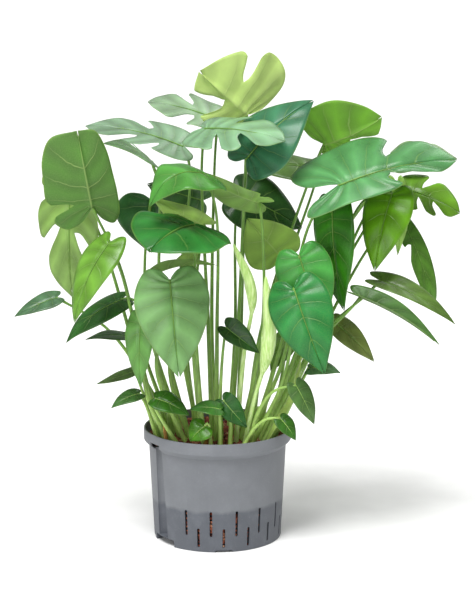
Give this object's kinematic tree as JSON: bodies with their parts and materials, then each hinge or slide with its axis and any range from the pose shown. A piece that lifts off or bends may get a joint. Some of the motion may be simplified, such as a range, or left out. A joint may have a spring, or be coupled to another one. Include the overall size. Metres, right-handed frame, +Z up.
{
  "type": "potted monstera plant",
  "caption": "Bushy split-leaf monstera in a round slotted grey hydroculture pot filled with clay granulate, with heart-shaped and slit leaves on long stalks.",
  "frame": {"origin": "middle of the pot's underside, on the surface it stands on", "axes": "+Z up, +X to the plant's right, -Y the plant's front; the water gauge channel is at the front left"},
  "size_m": [0.7508, 0.4225, 0.8213],
  "materials": {
    "pot_plastic": "matte",
    "clay_granulate": "matte",
    "leaf_deep_green": "satin",
    "leaf_grey_green": "satin",
    "leaf_bright_green": "satin",
    "leaf_olive_green": "satin",
    "leaf_yellow_green": "satin",
    "stalk_green": "satin",
    "young_leaf": "satin",
    "dry_stalk": "matte"
  },
  "bodies": {
    "root": {"culture_pot": "pot_plastic", "granulate_bed": "clay_granulate", "crown_leaf": "leaf_yellow_green", "upper_heart_leaf": "leaf_deep_green", "top_front_leaf": "leaf_grey_green", "top_back_leaf": "leaf_grey_green", "upper_left_leaf": "leaf_grey_green", "left_shoulder_leaf": "leaf_grey_green", "arching_leaf": "leaf_bright_green", "long_leaf": "leaf_yellow_green", "glossy_heart_leaf": "leaf_deep_green", "pale_middle_leaf": "leaf_yellow_green", "dark_back_left_leaf": "leaf_deep_green", "ribbed_back_leaf": "leaf_grey_green", "shaded_back_leaf": "leaf_deep_green", "small_pale_leaf": "leaf_yellow_green", "folded_olive_leaf": "leaf_olive_green", "underside_heart_leaf": "leaf_olive_green", "dark_folded_leaf": "leaf_deep_green", "front_left_heart_leaf": "leaf_grey_green", "front_right_heart_leaf": "leaf_deep_green", "behind_heart_leaf": "leaf_deep_green", "narrow_front_left_leaf": "leaf_grey_green", "big_left_leaf": "leaf_bright_green", "fingered_left_leaf": "leaf_bright_green", "bright_left_leaf": "leaf_bright_green", "low_left_leaf": "leaf_deep_green", "far_left_leaf": "leaf_deep_green", "edge_on_leaf": "leaf_deep_green", "thin_left_leaf": "leaf_olive_green", "rim_left_leaf": "leaf_deep_green", "big_right_leaf": "leaf_grey_green", "upper_right_leaf": "leaf_yellow_green", "olive_back_leaf": "leaf_olive_green", "back_right_leaf": "leaf_bright_green", "hanging_right_leaf": "leaf_bright_green", "long_right_leaf": "leaf_bright_green", "bright_strip_leaf": "leaf_bright_green", "fingered_right_leaf": "leaf_bright_green", "dangling_right_leaf": "leaf_olive_green", "tapering_right_leaf": "leaf_olive_green", "folded_right_leaf": "leaf_olive_green", "lower_right_leaf": "leaf_olive_green", "low_middle_leaf": "leaf_deep_green", "centre_sprig_leaf": "leaf_deep_green", "rim_heart_leaf": "leaf_bright_green", "rim_middle_leaf": "leaf_deep_green", "rim_right_leaf": "leaf_bright_green", "hanging_rim_leaf": "leaf_olive_green", "small_right_leaf": "leaf_olive_green", "olive_right_leaf": "leaf_olive_green", "spear_leaf": "young_leaf", "rolled_leaf": "young_leaf", "left_shoot": "stalk_green", "middle_shoot": "stalk_green", "right_shoot": "stalk_green", "left_stub": "dry_stalk", "front_stub": "dry_stalk", "middle_stub": "dry_stalk", "opened_sheath": "young_leaf"}
  },
  "joints": []
}
